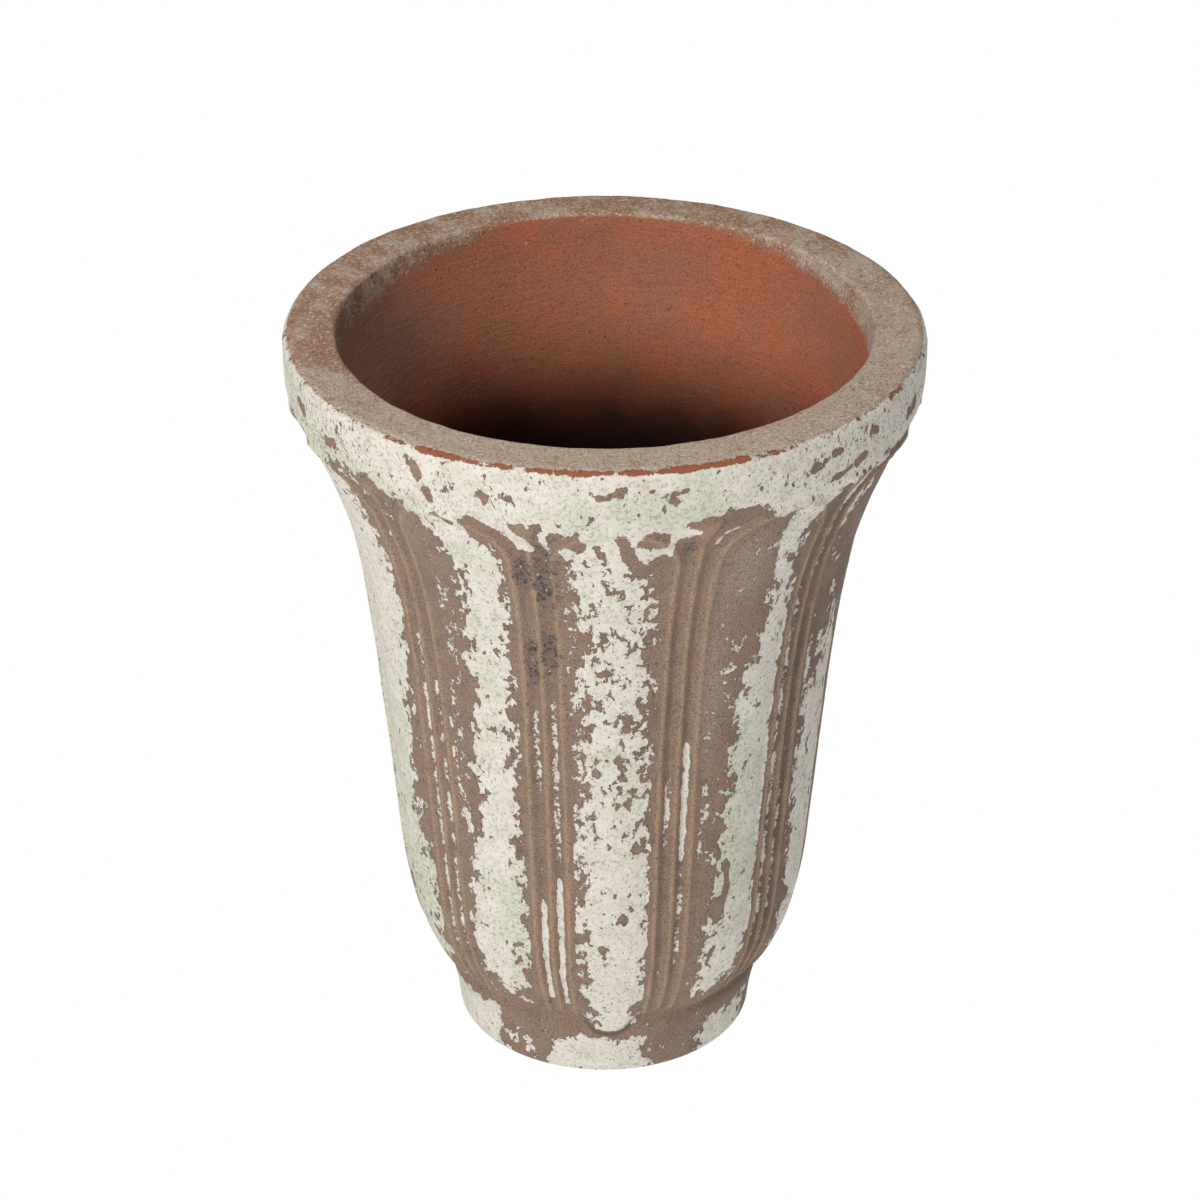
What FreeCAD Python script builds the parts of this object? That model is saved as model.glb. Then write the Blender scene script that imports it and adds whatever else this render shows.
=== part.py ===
"""Terracotta garden pot: a flared bell with eleven petals, a thick rim band and a foot ring.

Millimetres, +Z up. The origin is the centre of the foot's underside. Petal 1 faces -Y, and the
others follow it round, seen from above, anticlockwise. Every section is its own closed solid, and
the sections meet face to face where wet clay was luted to wet clay.
"""

import math
import os

import FreeCAD
import Part

# Overall
POT_HEIGHT = 349.0
RIM_RADIUS = 139.8
PETALS = 11

# Rim band: an upright face under a flat lip
BAND_BOTTOM = 323.0
BAND_BOTTOM_RADIUS = 138.6
BAND_FACE_BOTTOM = 332.0
LIP_INNER_RADIUS = 116.5
LIP_OUTER_ROUNDING = 4.5
LIP_INNER_ROUNDING = 2.5

# Outside of the wall at a petal's crown, as (radius, height) from the foot up to the band
CROWN = [
    (72.0, 31.5),
    (84.0, 50.5),
    (91.5, 73.0),
    (96.6, 115.0),
    (103.7, 190.0),
    (114.2, 260.0),
    (127.4, 298.0),
    (BAND_BOTTOM_RADIUS, BAND_BOTTOM),
]

# Inside of the wall, as (radius, height) from the floor up to the band
INSIDE = [
    (62.0, 41.0),
    (71.5, 58.0),
    (78.5, 110.0),
    (87.0, 190.0),
    (97.0, 260.0),
    (105.5, 298.0),
    (111.5, BAND_BOTTOM),
]

# Floor slab and its drainage hole
FLOOR_TOP = 41.0
FLOOR_BOTTOM = 22.0
FLOOR_RADIUS = 62.0
DRAIN_RADIUS = 12.0

# Foot ring
FOOT_TOP = 31.5
FOOT_TOP_RADIUS = 72.0
FOOT_BASE_RADIUS = 67.8
FOOT_RECESS_RADIUS = 50.0
FOOT_ROUNDING = 3.5

# Relief: a petal's lobe turns about its own upright axis, which gives it a convex section
VALLEY_DEPTH = 3.2
LOBE_AXIS_OFFSET = 40.0
LOBE_HALF_ANGLE = 11.9
LOBE_EMBED = 1.0
ARCH_TOP = 318.5
ARCH_SPRING = 292.0
BEAD_HALF_WIDTH = 3.0
BEAD_HEIGHT = 3.4
BEAD_BOTTOM = 36.0
REED_HALF_WIDTH = 2.6
REED_HEIGHT = 2.4
REED_BOTTOM = 42.0
REED_BOTTOM_HALF_WIDTH = 1.6
REED_TAPER_TOP = 184.0
SPANDREL_BOTTOM = 304.0
SPANDREL_HALF_WIDTH = 7.0

PITCH = 360.0 / PETALS
FRONT = -90.0
AXIS = FreeCAD.Vector(0, 0, 1)
ORIGIN = FreeCAD.Vector(0, 0, 0)


def in_section(radius, height):
    """A point of the half section that is revolved, in the plane of X and Z."""
    return FreeCAD.Vector(radius, 0, height)


def spline(points):
    """A smooth edge through points given as (radius, height)."""
    curve = Part.BSplineCurve()
    curve.interpolate([in_section(*point) for point in points])
    return curve.toShape()


def line(start, end):
    """A straight edge between two points given as (radius, height)."""
    return Part.makeLine(in_section(*start), in_section(*end))


def revolved(edges, angle=360):
    """The solid of a closed half section turned about the upright axis."""
    face = Part.Face(Part.Wire(Part.__sortEdges__(edges)))
    return Part.Solid(face.revolve(ORIGIN, AXIS, angle))


def offset(points, distance):
    """The same (radius, height) points with every radius changed by a distance."""
    return [(radius + distance, height) for radius, height in points]


def rounded(solid, radius, height, rounding):
    """The solid with its circular edge at that radius and height rounded off."""
    edges = []
    for edge in solid.Edges:
        circle = edge.Curve
        if not isinstance(circle, Part.Circle):
            continue
        if abs(circle.Radius - radius) < 0.01 and abs(circle.Center.z - height) < 0.01:
            edges.append(edge)
    return solid.makeFillet(rounding, edges)


def make_rim_band():
    """The lip with its flat top, standing on the wall's top face."""
    corners = [
        (INSIDE[-1][0], BAND_BOTTOM),
        (BAND_BOTTOM_RADIUS, BAND_BOTTOM),
        (RIM_RADIUS, BAND_FACE_BOTTOM),
        (RIM_RADIUS, POT_HEIGHT),
        (LIP_INNER_RADIUS, POT_HEIGHT),
    ]
    edges = [line(corners[i - 1], corners[i]) for i in range(len(corners))]
    band = revolved(edges)
    band = rounded(band, RIM_RADIUS, POT_HEIGHT, LIP_OUTER_ROUNDING)
    return rounded(band, LIP_INNER_RADIUS, POT_HEIGHT, LIP_INNER_ROUNDING)


def make_floor():
    """The slab at the bottom of the pot, with the drainage hole through its middle."""
    thickness = FLOOR_TOP - FLOOR_BOTTOM
    slab = Part.makeCylinder(FLOOR_RADIUS, thickness, FreeCAD.Vector(0, 0, FLOOR_BOTTOM))
    hole = Part.makeCylinder(DRAIN_RADIUS, FLOOR_TOP, ORIGIN)
    return slab.cut(hole)


def make_foot_ring():
    """The ring that the pot stands on, with a step that takes the floor slab."""
    corners = [
        (FOOT_RECESS_RADIUS, 0.0),
        (FOOT_BASE_RADIUS, 0.0),
        (FOOT_TOP_RADIUS, FOOT_TOP),
        (FLOOR_RADIUS, FOOT_TOP),
        (FLOOR_RADIUS, FLOOR_BOTTOM),
        (FOOT_RECESS_RADIUS, FLOOR_BOTTOM),
    ]
    ring = revolved([line(corners[i - 1], corners[i]) for i in range(len(corners))])
    return rounded(ring, FOOT_BASE_RADIUS, 0.0, FOOT_ROUNDING)


def valley_points():
    """The outside of the wall in the valleys between the petals."""
    return offset(CROWN, -VALLEY_DEPTH)


def make_bell_sector():
    """The share of the plain turned wall that lies behind the front petal."""
    valley = valley_points()
    edges = [
        spline(valley),
        line(valley[-1], INSIDE[-1]),
        spline(INSIDE),
        line(INSIDE[0], (FLOOR_RADIUS, FOOT_TOP)),
        line((FLOOR_RADIUS, FOOT_TOP), valley[0]),
    ]
    sector = revolved(edges, PITCH)
    sector.rotate(ORIGIN, AXIS, FRONT - PITCH / 2)
    return sector


def radius_at(points, height):
    """The radius where a smooth profile passes a height."""
    level = Part.makePlane(400, 400, FreeCAD.Vector(-200, -200, height))
    nearest = spline(points).distToShape(level)[1][0][0]
    return nearest.x


def flank(bottom, margin):
    """Points up one side of a petal's outline, seen from the front, with a margin added sideways."""
    between = [height for _, height in CROWN if bottom + 5 < height < ARCH_SPRING]
    heights = [bottom, *between, ARCH_SPRING]
    sine = math.sin(math.radians(LOBE_HALF_ANGLE))
    return [(radius_at(CROWN, height) * sine + margin, height) for height in heights]


def mirrored(points):
    """The same (side, height) points on the other side of the petal's middle."""
    return [(-side, height) for side, height in points]


def arch(spring, rise):
    """The round top between two springing points, as an edge."""
    side, height = spring
    crown = in_section(0, height + rise)
    return Part.Arc(in_section(side, height), crown, in_section(-side, height)).toShape()


def cut_forward(edges):
    """A closed outline in the plane of X and Z, carried forward through the front of the wall."""
    face = Part.Face(Part.Wire(Part.__sortEdges__(edges)))
    return face.extrude(FreeCAD.Vector(0, -RIM_RADIUS - 20, 0))


def make_petal(core):
    """One convex petal under its arch, on the valley surface."""
    side = flank(FOOT_TOP, 0.0)
    outline = [
        spline(side),
        arch(side[-1], ARCH_TOP - ARCH_SPRING),
        spline(mirrored(side)),
        line(side[0], mirrored(side)[0]),
    ]
    lobe_points = offset(CROWN, -LOBE_AXIS_OFFSET)
    edges = [
        spline(lobe_points),
        line(lobe_points[-1], (0.0, BAND_BOTTOM)),
        line((0.0, BAND_BOTTOM), (0.0, FOOT_TOP)),
        line((0.0, FOOT_TOP), lobe_points[0]),
    ]
    lobe = revolved(edges)
    lobe.translate(FreeCAD.Vector(0, -LOBE_AXIS_OFFSET, 0))
    return lobe.common(cut_forward(outline)).cut(core)


def make_core(depth):
    """Everything inside the valley surface, sunk by a depth, as one solid."""
    points = offset(valley_points(), -depth)
    edges = [
        spline(points),
        line(points[-1], (0.0, BAND_BOTTOM)),
        line((0.0, BAND_BOTTOM), (0.0, FOOT_TOP)),
        line((0.0, FOOT_TOP), points[0]),
    ]
    return revolved(edges)


def relief_skin(height):
    """The layer that the beads are cut from: a turned shell over the valleys."""
    valley = valley_points()
    raised = offset(valley, height)
    edges = [spline(valley), line(valley[-1], raised[-1]), spline(raised), line(raised[0], valley[0])]
    return revolved(edges)


def make_arch_bead(skin, wall):
    """The bead that frames the front petal: up one side, round the top and down the other."""
    outer = flank(BEAD_BOTTOM, BEAD_HALF_WIDTH)
    inner = flank(BEAD_BOTTOM, -BEAD_HALF_WIDTH)
    rise = ARCH_TOP - ARCH_SPRING
    edges = [
        spline(outer),
        arch(outer[-1], rise + BEAD_HALF_WIDTH),
        spline(mirrored(outer)),
        line(mirrored(outer)[0], mirrored(inner)[0]),
        spline(mirrored(inner)),
        arch(inner[-1], rise - BEAD_HALF_WIDTH),
        spline(inner),
        line(inner[0], outer[0]),
    ]
    return skin.common(cut_forward(edges)).cut(wall)


def make_centre_reed(skin, wall):
    """The straight bead midway between two petals, with a small spandrel on its top."""
    corners = [
        (REED_BOTTOM_HALF_WIDTH, REED_BOTTOM),
        (REED_HALF_WIDTH, REED_TAPER_TOP),
        (REED_HALF_WIDTH, SPANDREL_BOTTOM),
        (SPANDREL_HALF_WIDTH, BAND_BOTTOM),
    ]
    ring = corners + list(reversed(mirrored(corners)))
    edges = [line(ring[i - 1], ring[i]) for i in range(len(ring))]
    reed = skin.common(cut_forward(edges))
    reed.rotate(ORIGIN, AXIS, PITCH / 2)
    return reed.cut(wall)


def around(shape):
    """Copies of a shape at every petal, the first in place."""
    copies = []
    for index in range(PETALS):
        copy = shape.copy()
        copy.rotate(ORIGIN, AXIS, index * PITCH)
        copies.append(copy)
    return copies


def only_solid(shape):
    """The one solid that a Boolean result holds."""
    if len(shape.Solids) != 1:
        raise ValueError(f"one solid expected, {len(shape.Solids)} found")
    return shape.Solids[0]


def make_all():
    """Every section by its node name."""
    sectors = around(make_bell_sector().fuse(make_petal(make_core(LOBE_EMBED))))
    wall = only_solid(sectors[0].fuse(sectors[1:]))
    sections = {
        "rim_band": make_rim_band(),
        "wall": wall,
        "floor": make_floor(),
        "foot_ring": make_foot_ring(),
    }
    bead = make_arch_bead(relief_skin(BEAD_HEIGHT), wall)
    reed = make_centre_reed(relief_skin(REED_HEIGHT), wall)
    for index, copy in enumerate(around(bead), start=1):
        sections[f"arch_bead_{index:02d}"] = copy
    for index, copy in enumerate(around(reed), start=1):
        sections[f"centre_reed_{index:02d}"] = copy
    return sections


def main():
    os.makedirs("parts", exist_ok=True)
    for name, shape in make_all().items():
        only_solid(shape).exportStep(f"parts/{name}.step")


if __name__ == "__main__":
    main()
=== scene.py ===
"""The looks of the terracotta pot: its true relief in fine meshes, and its worn limewash over brown slip.

The whole skin is one grid of rows up the outside, over the lip and down the inside, and columns round
the axis. Each CAD section is replaced by the closed solid of its own rows, and every bead stands on
that skin. Lengths are millimetres until a mesh is made. phi is the angle round the axis in degrees:
0 faces -Y, the front, and it grows towards +X.
"""

import bpy
import numpy as np
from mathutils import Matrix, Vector


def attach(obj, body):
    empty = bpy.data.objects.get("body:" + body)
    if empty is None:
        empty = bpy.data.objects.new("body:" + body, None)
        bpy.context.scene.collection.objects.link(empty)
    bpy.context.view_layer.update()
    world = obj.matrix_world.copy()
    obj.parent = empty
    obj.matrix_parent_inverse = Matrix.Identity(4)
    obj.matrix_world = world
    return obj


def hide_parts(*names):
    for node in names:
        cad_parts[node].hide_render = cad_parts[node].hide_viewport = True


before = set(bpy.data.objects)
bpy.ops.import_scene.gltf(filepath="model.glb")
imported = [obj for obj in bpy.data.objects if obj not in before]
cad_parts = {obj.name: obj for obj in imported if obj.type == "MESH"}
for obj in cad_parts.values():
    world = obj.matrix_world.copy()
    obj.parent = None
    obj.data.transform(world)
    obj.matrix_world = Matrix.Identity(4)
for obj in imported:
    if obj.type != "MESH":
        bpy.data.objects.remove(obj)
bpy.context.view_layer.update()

MM = 0.001
PETALS = 11
PITCH = 360.0 / PETALS
COLUMNS = 72 * PETALS
COARSE = 3

# Outside at the crown of the petals, as height and radius
CROWN = np.array(
    [
        (24.0, 72.4),
        (31.5, 74.4),
        (40.0, 79.6),
        (50.5, 84.3),
        (66.5, 90.2),
        (88.6, 94.2),
        (117.2, 96.9),
        (152.2, 100.1),
        (190.3, 103.7),
        (228.3, 108.4),
        (260.0, 114.2),
        (282.2, 121.0),
        (298.1, 127.4),
        (310.8, 133.4),
        (323.0, 138.4),
    ]
)
# Outside between the petals near the foot: the foot's soft roll, then the scoop above it
FOOT = np.array(
    [
        (3.5, 67.8),
        (14.0, 69.2),
        (22.0, 70.9),
        (27.5, 71.9),
        (32.0, 71.2),
        (38.0, 74.6),
        (50.5, 81.3),
    ]
)
# Inside of the pot
INSIDE = np.array(
    [
        (41.0, 60.0),
        (46.0, 66.5),
        (58.0, 71.5),
        (110.0, 78.5),
        (190.0, 87.0),
        (260.0, 97.0),
        (298.0, 105.5),
        (323.0, 111.5),
        (346.5, 116.3),
    ]
)

HEIGHT = 349.0
BAND_BOTTOM = 323.0
WALL_BOTTOM = 31.5
RIM_RADIUS = 139.7
LIP_INNER = 119.0
LIP_ROUND = 4.7
INNER_ROUND = 2.5
FOOT_ROUND = 3.5
FLOOR_TOP = 41.0
FLOOR_BOTTOM = 22.0
FLOOR_RADIUS = 62.0
DRAIN_RADIUS = 12.0
FOOT_RECESS = 50.0

VALLEY = 3.0
PETAL_SAG = 2.3
BEAD_HEIGHT = 2.3
REED_HEIGHT = 2.1
BEAD_SUNK = 0.4
ARCH_SPRING = 293.0
ARCH_TOP = 317.5
TIP_SPRING = 58.0
TIP_BOTTOM = 31.0
FRONT_TIP_BOTTOM = 24.0
FRONT_TIP_OVERHANG = 2.2

# A bead's section: how round its crest is, and how hollow its flanks are
CREST_ROUND = 0.5
FLANK_POWER = 1.7

# Half the angle between an arch bead's legs, as (height, degrees)
ARCH_HALF = np.array([(145.0, 11.66), (265.0, 12.16)])

# The low pad over each reed: its height, and its half width as (height, half width)
PAD_HEIGHT = 1.5
PAD_HALF = np.array([(298.0, 0.6), (306.0, 2.2), (322.5, 7.4)])

# The rim band's outside, as (height, radius)
BAND = np.array([(BAND_BOTTOM, 138.4), (328.0, 139.3), (334.0, RIM_RADIUS)])

# Unevenness left by hand, each wave as (height, size, seed, octaves)
SLOW_WAVES = [(0.40, 90.0, 11, 1), (0.22, 24.0, 23, 1), (0.10, 7.0, 37, 2)]
LIP_WAVES = [(0.35, 30.0, 61, 2), (0.25, 9.0, 67, 2)]
GRAIN = [(0.07, 2.6, 51, 2)]


# ---------------------------------------------------------------- number helpers


def curve_through(points, at):
    """A smooth monotone curve through (place, value) points, read at the given places."""
    x, y = points[:, 0], points[:, 1]
    step = np.diff(x)
    slope = np.diff(y) / step
    tangent = np.empty(len(x))
    tangent[0], tangent[-1] = slope[0], slope[-1]
    same = slope[1:] * slope[:-1] > 0
    mean = 2 * slope[1:] * slope[:-1] / np.where(same, slope[1:] + slope[:-1], 1.0)
    tangent[1:-1] = np.where(same, mean, 0.0)
    i = np.clip(np.searchsorted(x, at) - 1, 0, len(x) - 2)
    t = (at - x[i]) / step[i]
    h00 = 2 * t**3 - 3 * t**2 + 1
    h10 = t**3 - 2 * t**2 + t
    h01 = 3 * t**2 - 2 * t**3
    h11 = t**3 - t**2
    return h00 * y[i] + h10 * step[i] * tangent[i] + h01 * y[i + 1] + h11 * step[i] * tangent[i + 1]


def smooth(low, high, value):
    """0 below low, 1 above high, and an S between them."""
    t = np.clip((value - low) / (high - low), 0.0, 1.0)
    return t * t * (3 - 2 * t)


def hashed(ix, iy, iz, seed):
    """A repeatable number from 0 to 1 for each lattice point."""
    n = ix * 374761393 + iy * 668265263 + iz * 2147483647 + seed * 1442695041
    n = (n ^ (n >> 13)) * 1274126177
    n = n ^ (n >> 16)
    return (n & 0xFFFFFF) / float(0xFFFFFF)


def noise(points, size, seed, octaves=1):
    """Smooth noise from -1 to 1 at points, with features of about that size, halved in each octave."""
    total, weight = np.zeros(points.shape[:-1]), 0.0
    for octave in range(octaves):
        q = points / (size / 2**octave) + 1000.0
        cell = np.floor(q).astype(np.int64)
        f = q - cell
        f = f * f * (3 - 2 * f)
        value = np.zeros(points.shape[:-1])
        for corner in range(8):
            dx, dy, dz = corner & 1, corner >> 1 & 1, corner >> 2 & 1
            share = (
                (f[..., 0] if dx else 1 - f[..., 0])
                * (f[..., 1] if dy else 1 - f[..., 1])
                * (f[..., 2] if dz else 1 - f[..., 2])
            )
            value += share * hashed(cell[..., 0] + dx, cell[..., 1] + dy, cell[..., 2] + dz, seed + octave)
        amount = 0.5**octave
        total += amount * (2 * value - 1)
        weight += amount
    return total / weight


# ---------------------------------------------------------------- the skin's rows


def arc(centre_r, centre_z, radius, start, end, count):
    """Points round a rounded edge, as (radius, height), between two angles in degrees."""
    angle = np.radians(np.linspace(start, end, count))
    return np.column_stack([centre_r + radius * np.cos(angle), centre_z + radius * np.sin(angle)])


def heights(*spans):
    """Row heights from (low, high, step) spans, each value once."""
    rows = [np.linspace(low, high, int(round((high - low) / step)) + 1)[:-1] for low, high, step in spans]
    return np.concatenate(rows + [[spans[-1][1]]])


foot_round = arc(FOOT[0, 1] - FOOT_ROUND, FOOT_ROUND, FOOT_ROUND, -90, 0, 7)[:-1]
foot_z = heights((FOOT_ROUND, 21.5, 2.0), (21.5, WALL_BOTTOM, 1.0))
wall_z = heights((WALL_BOTTOM, 60.0, 1.2), (60.0, 284.0, 4.2), (284.0, BAND_BOTTOM, 1.4))
band_z = heights((BAND_BOTTOM, 343.5, 1.5))[1:-1]
lip_round = arc(RIM_RADIUS - LIP_ROUND, HEIGHT - LIP_ROUND, LIP_ROUND, 0, 90, 8)
lip_r = np.linspace(133.6, LIP_INNER, 11)[:-1]
inner_round = arc(LIP_INNER, HEIGHT - INNER_ROUND, INNER_ROUND, 90, 180, 6)
inside_z = heights((60.0, BAND_BOTTOM, 6.0), (BAND_BOTTOM, 344.0, 3.0))[::-1]
fillet_z = heights((FLOOR_TOP, 60.0, 2.4))[::-1][1:]

angle = np.radians(np.arange(COLUMNS) * 360.0 / COLUMNS)
phi = np.degrees(angle)
panel = np.round(phi / PITCH)
local = phi - panel * PITCH
panel = panel.astype(int) % PETALS
from_reed = PITCH / 2 - np.abs(local)


def ridge(distance, half_width):
    """The section of a bead: a narrow crest with hollow flanks that run out level."""
    soft = np.sqrt(distance**2 + CREST_ROUND**2) - CREST_ROUND
    return np.clip(1 - soft / half_width, 0.0, 1.0) ** FLANK_POWER


def outside(z):
    """The plain outside, the arch beads' height and the reeds' height, as (row, column) grids."""
    z = z[:, None]
    crown = curve_through(CROWN, np.maximum(z, CROWN[0, 0]))
    half_angle = np.radians(np.interp(z, *ARCH_HALF.T))
    half = crown * half_angle
    side = crown * np.radians(local)
    up = np.maximum(z - ARCH_SPRING, 0.0)
    rise = ARCH_TOP - ARCH_SPRING
    q_top = np.sqrt((side / half) ** 2 + (up / rise) ** 2)
    slope = np.sqrt((side / half**2) ** 2 + (up / rise**2) ** 2) / np.maximum(q_top, 1e-6)
    to_arch = (q_top - 1) / np.maximum(slope, 1e-6)
    tip_bottom = np.where(panel == 0, FRONT_TIP_BOTTOM, TIP_BOTTOM)
    down = np.maximum(TIP_SPRING - z, 0.0) / (TIP_SPRING - tip_bottom)
    q_tip = (np.abs(side / half) ** 2.5 + down**2.5) ** 0.4
    q = np.maximum(q_top, q_tip)
    reach = np.minimum(crown, 126.0) * (np.radians(PITCH / 2) - half_angle) / 2

    shallow = 1 - 0.9 * smooth(306.0, 321.0, z)
    ground = np.where(z < FOOT[-1, 0], curve_through(FOOT, z), crown - VALLEY * shallow)
    overhang = np.where(panel == 0, FRONT_TIP_OVERHANG, 0.0) * (1 - smooth(26.0, 46.0, z))
    petal = crown - PETAL_SAG * np.minimum(q, 1.3) ** 2.2 + overhang
    plain = ground + (1 - smooth(0.84, 1.0, q)) * (petal - ground)

    arch = BEAD_HEIGHT * ridge(to_arch, reach) * smooth(31.5, 41.0, z)
    beside = crown * np.radians(from_reed)
    reed = REED_HEIGHT * ridge(beside, reach) * smooth(32.5, 43.0, z) * (1 - smooth(302.0, 312.0, z))
    pad = PAD_HEIGHT * smooth(0.0, 1.8, np.interp(z, *PAD_HALF.T) - beside)
    pad = pad * smooth(298.0, 307.0, z) * (1 - smooth(320.8, 322.6, z))
    reed = np.where(arch > 0, 0.0, np.maximum(reed, pad))
    return plain, arch, reed


outer_z = np.concatenate([foot_z, wall_z[1:]])
plain, arch_height, reed_height = outside(outer_z)
band_r = np.interp(band_z, *BAND.T)
inside_r = curve_through(INSIDE, inside_z)
fillet_r = curve_through(INSIDE, fillet_z)


def section(radius, height):
    """A row for each (radius, height) that doesn't change round the pot."""
    return np.column_stack([radius, height])


plain_rows = np.vstack(
    [
        section(band_r, band_z),
        lip_round,
        section(lip_r, np.full(len(lip_r), HEIGHT)),
        inner_round,
        section(inside_r, inside_z),
        section(fillet_r, fillet_z),
    ]
)


def even(values):
    """A column of values repeated in every grid column."""
    return np.repeat(np.asarray(values, float)[:, None], COLUMNS, axis=1)


base_radius = np.vstack([even(foot_round[:, 0]), plain, even(plain_rows[:, 0])])
base_height = np.vstack([even(foot_round[:, 1]), even(outer_z), even(plain_rows[:, 1])])
relief = np.zeros_like(base_radius)
first_outer = len(foot_round)
outer_rows = slice(first_outer, first_outer + len(outer_z))
relief[outer_rows] = arch_height + reed_height
row_count = len(base_radius)
wall_start = first_outer + len(foot_z) - 1
band_start = first_outer + len(outer_z) - 1
lip_start = band_start + 1 + len(band_z)
lip_end = lip_start + len(lip_round) + len(lip_r) + len(inner_round)
inside_joint = lip_end + int(np.argmin(np.abs(inside_z - BAND_BOTTOM)))


def placed(radius, height):
    """Points in space, in millimetres, for grids of radius and height."""
    return np.stack([radius * np.sin(angle), -radius * np.cos(angle), height], axis=-1)


def across_section():
    """The direction out of the clay along each row's section, as radius and height grids."""
    d_r = np.gradient(base_radius, axis=0)
    d_z = np.gradient(base_height, axis=0)
    length = np.maximum(np.hypot(d_r, d_z), 1e-6)
    out_r, out_z = d_z / length, -d_r / length
    for grid in (out_r, out_z):
        padded = np.vstack([grid[:1], grid, grid[-1:]])
        grid[:] = (padded[:-2] + 2 * padded[1:-1] + padded[2:]) / 4
    return out_r, out_z


def summed(points, waves):
    """Some (height, size, seed, octaves) waves of noise added up."""
    return sum(height * noise(points, size, seed, octaves) for height, size, seed, octaves in waves)


def hand_made():
    """How far each point of the skin stands proud, from slow waves down to the clay's own grain."""
    points = placed(base_radius, base_height)
    lip = np.zeros(row_count)
    lip[lip_start - 4 : lip_end + 2] = 1.0
    waves = summed(points, SLOW_WAVES) + lip[:, None] * summed(points, LIP_WAVES)
    return (waves + summed(points, GRAIN)) * smooth(0.0, 6.0, base_height)


out_r, out_z = across_section()
lift = hand_made()
raised = placed(base_radius + out_r * lift + relief, base_height + out_z * lift)
lift -= BEAD_SUNK * (relief > 1e-4)
skin = placed(base_radius + out_r * lift, base_height + out_z * lift)


def grid_normals(points):
    """Unit normals of the whole grid, which closes on itself in the columns."""
    along = np.gradient(points, axis=0)
    around = np.roll(points, -1, axis=1) - np.roll(points, 1, axis=1)
    normal = np.cross(around, along)
    return normal / np.maximum(np.linalg.norm(normal, axis=-1, keepdims=True), 1e-9)


normals = grid_normals(raised)


# ---------------------------------------------------------------- where the limewash is left

# For each petal, rows of (height, left edge, right edge, cover): the edges of the white streak in
# degrees from the petal's middle, and its cover, from 1, whole, through 0, half flaked off.
STREAKS = {
    0: [
        (302, -10, 7, 0.75), (278, -9, 9, 0.45), (232, -9.5, 9.5, 0.22), (190, -9.8, 9, 0.3),
        (165, -9.8, 9.5, 0.45), (141, -9.8, 9, 0.9), (112, -10, 11, 0.95), (90, -9, 10.5, 0.95),
        (66, -8, 9.5, 1.0), (45, -6.5, 8.5, 1.0), (34, -6, 8.5, 1.0), (24, -5, 6.5, 1.0),
    ],
    1: [
        (302, -1, 8.5, 0.9), (285, 1, 7.5, 0.8), (272, 3, 9, 0.8), (255, 4, 10.5, 0.8),
        (240, 2, 11.5, 0.8), (225, -1, 13, 0.8), (175, -3, 14, 0.9), (130, -3.5, 14, 0.9),
        (95, -4.5, 12.5, 0.9), (70, -6.5, 11, 0.9), (48, -5, 8, 0.8),
    ],
    2: [
        (300, -14, -6, 0.6), (280, -13, -8, 0.2), (255, -6, -4, -0.7), (225, -7, 7, 0.35),
        (190, -9, 9, 0.5), (150, -10, 10, 0.7), (110, -8, 9, 0.9), (80, -7, 7, 0.9),
        (55, -4, 5, 0.8),
    ],
    3: [
        (300, -6, 8, 0.8), (250, -5, 9, 0.6), (190, -8, 7, 0.3), (130, -9, 9, 0.8),
        (80, -7, 8, 0.9), (50, -4, 5, 0.8),
    ],
    4: [
        (300, -3, 11, 0.3), (240, -8, 5, 0.2), (180, -9, 4, 0.7), (120, -7, 10, 0.9),
        (70, -7, 6, 0.8), (45, -5, 3, 0.6),
    ],
    5: [
        (300, -9, 7, 0.9), (250, -8, 9, 0.8), (200, -6, 10, 0.2), (140, -3, 9, 0.4),
        (90, -8, 9, 0.9), (50, -5, 5, 0.9),
    ],
    6: [
        (300, 2, 10, 0.6), (250, -2, 9, 0.7), (190, -9, 9, 0.7), (130, -10, 5, 0.9),
        (80, -8, 4, 0.8), (50, -6, 2, 0.7),
    ],
    7: [
        (300, -8, 8, 0.4), (250, -8, 6, 0.1), (190, -7, 9, 0.1), (140, -9, 9, 0.8),
        (90, -9, 9, 0.9), (50, -4, 6, 0.9),
    ],
    8: [
        (300, -5, 20, 0.8), (250, -8, 20, 0.9), (180, -9, 20, 0.9), (120, -9, 20, 0.9),
        (75, -8, 14, 0.9), (50, -5, 7, 0.8),
    ],
    9: [
        (305, -6, 7.5, 0.8), (290, -16, 8.6, 0.9), (264, -20, 10, 1.0), (230, -20, 10, 1.0),
        (190, -20, 8, 0.9), (132, -20, 5, 1.0), (100, -18, 10, 0.8), (80, -14, 12, 0.7),
        (60, -9, 10, 0.7), (46, -5, 5, 0.6),
    ],
    10: [
        (302, -3, 11.5, 0.9), (285, -1, 10.9, 0.9), (267, -0.5, 10.2, 0.95), (242, -1.8, 9.0, 0.95),
        (215, -2, 8.5, 0.95), (183, -1.5, 8.8, 0.9), (140, -3, 9, 0.95), (105, -7, 9.8, 0.95),
        (87, -9.5, 10.3, 0.95), (66, -8, 8.2, 1.0), (50, -5, 2.5, 0.9),
    ],
}

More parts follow.
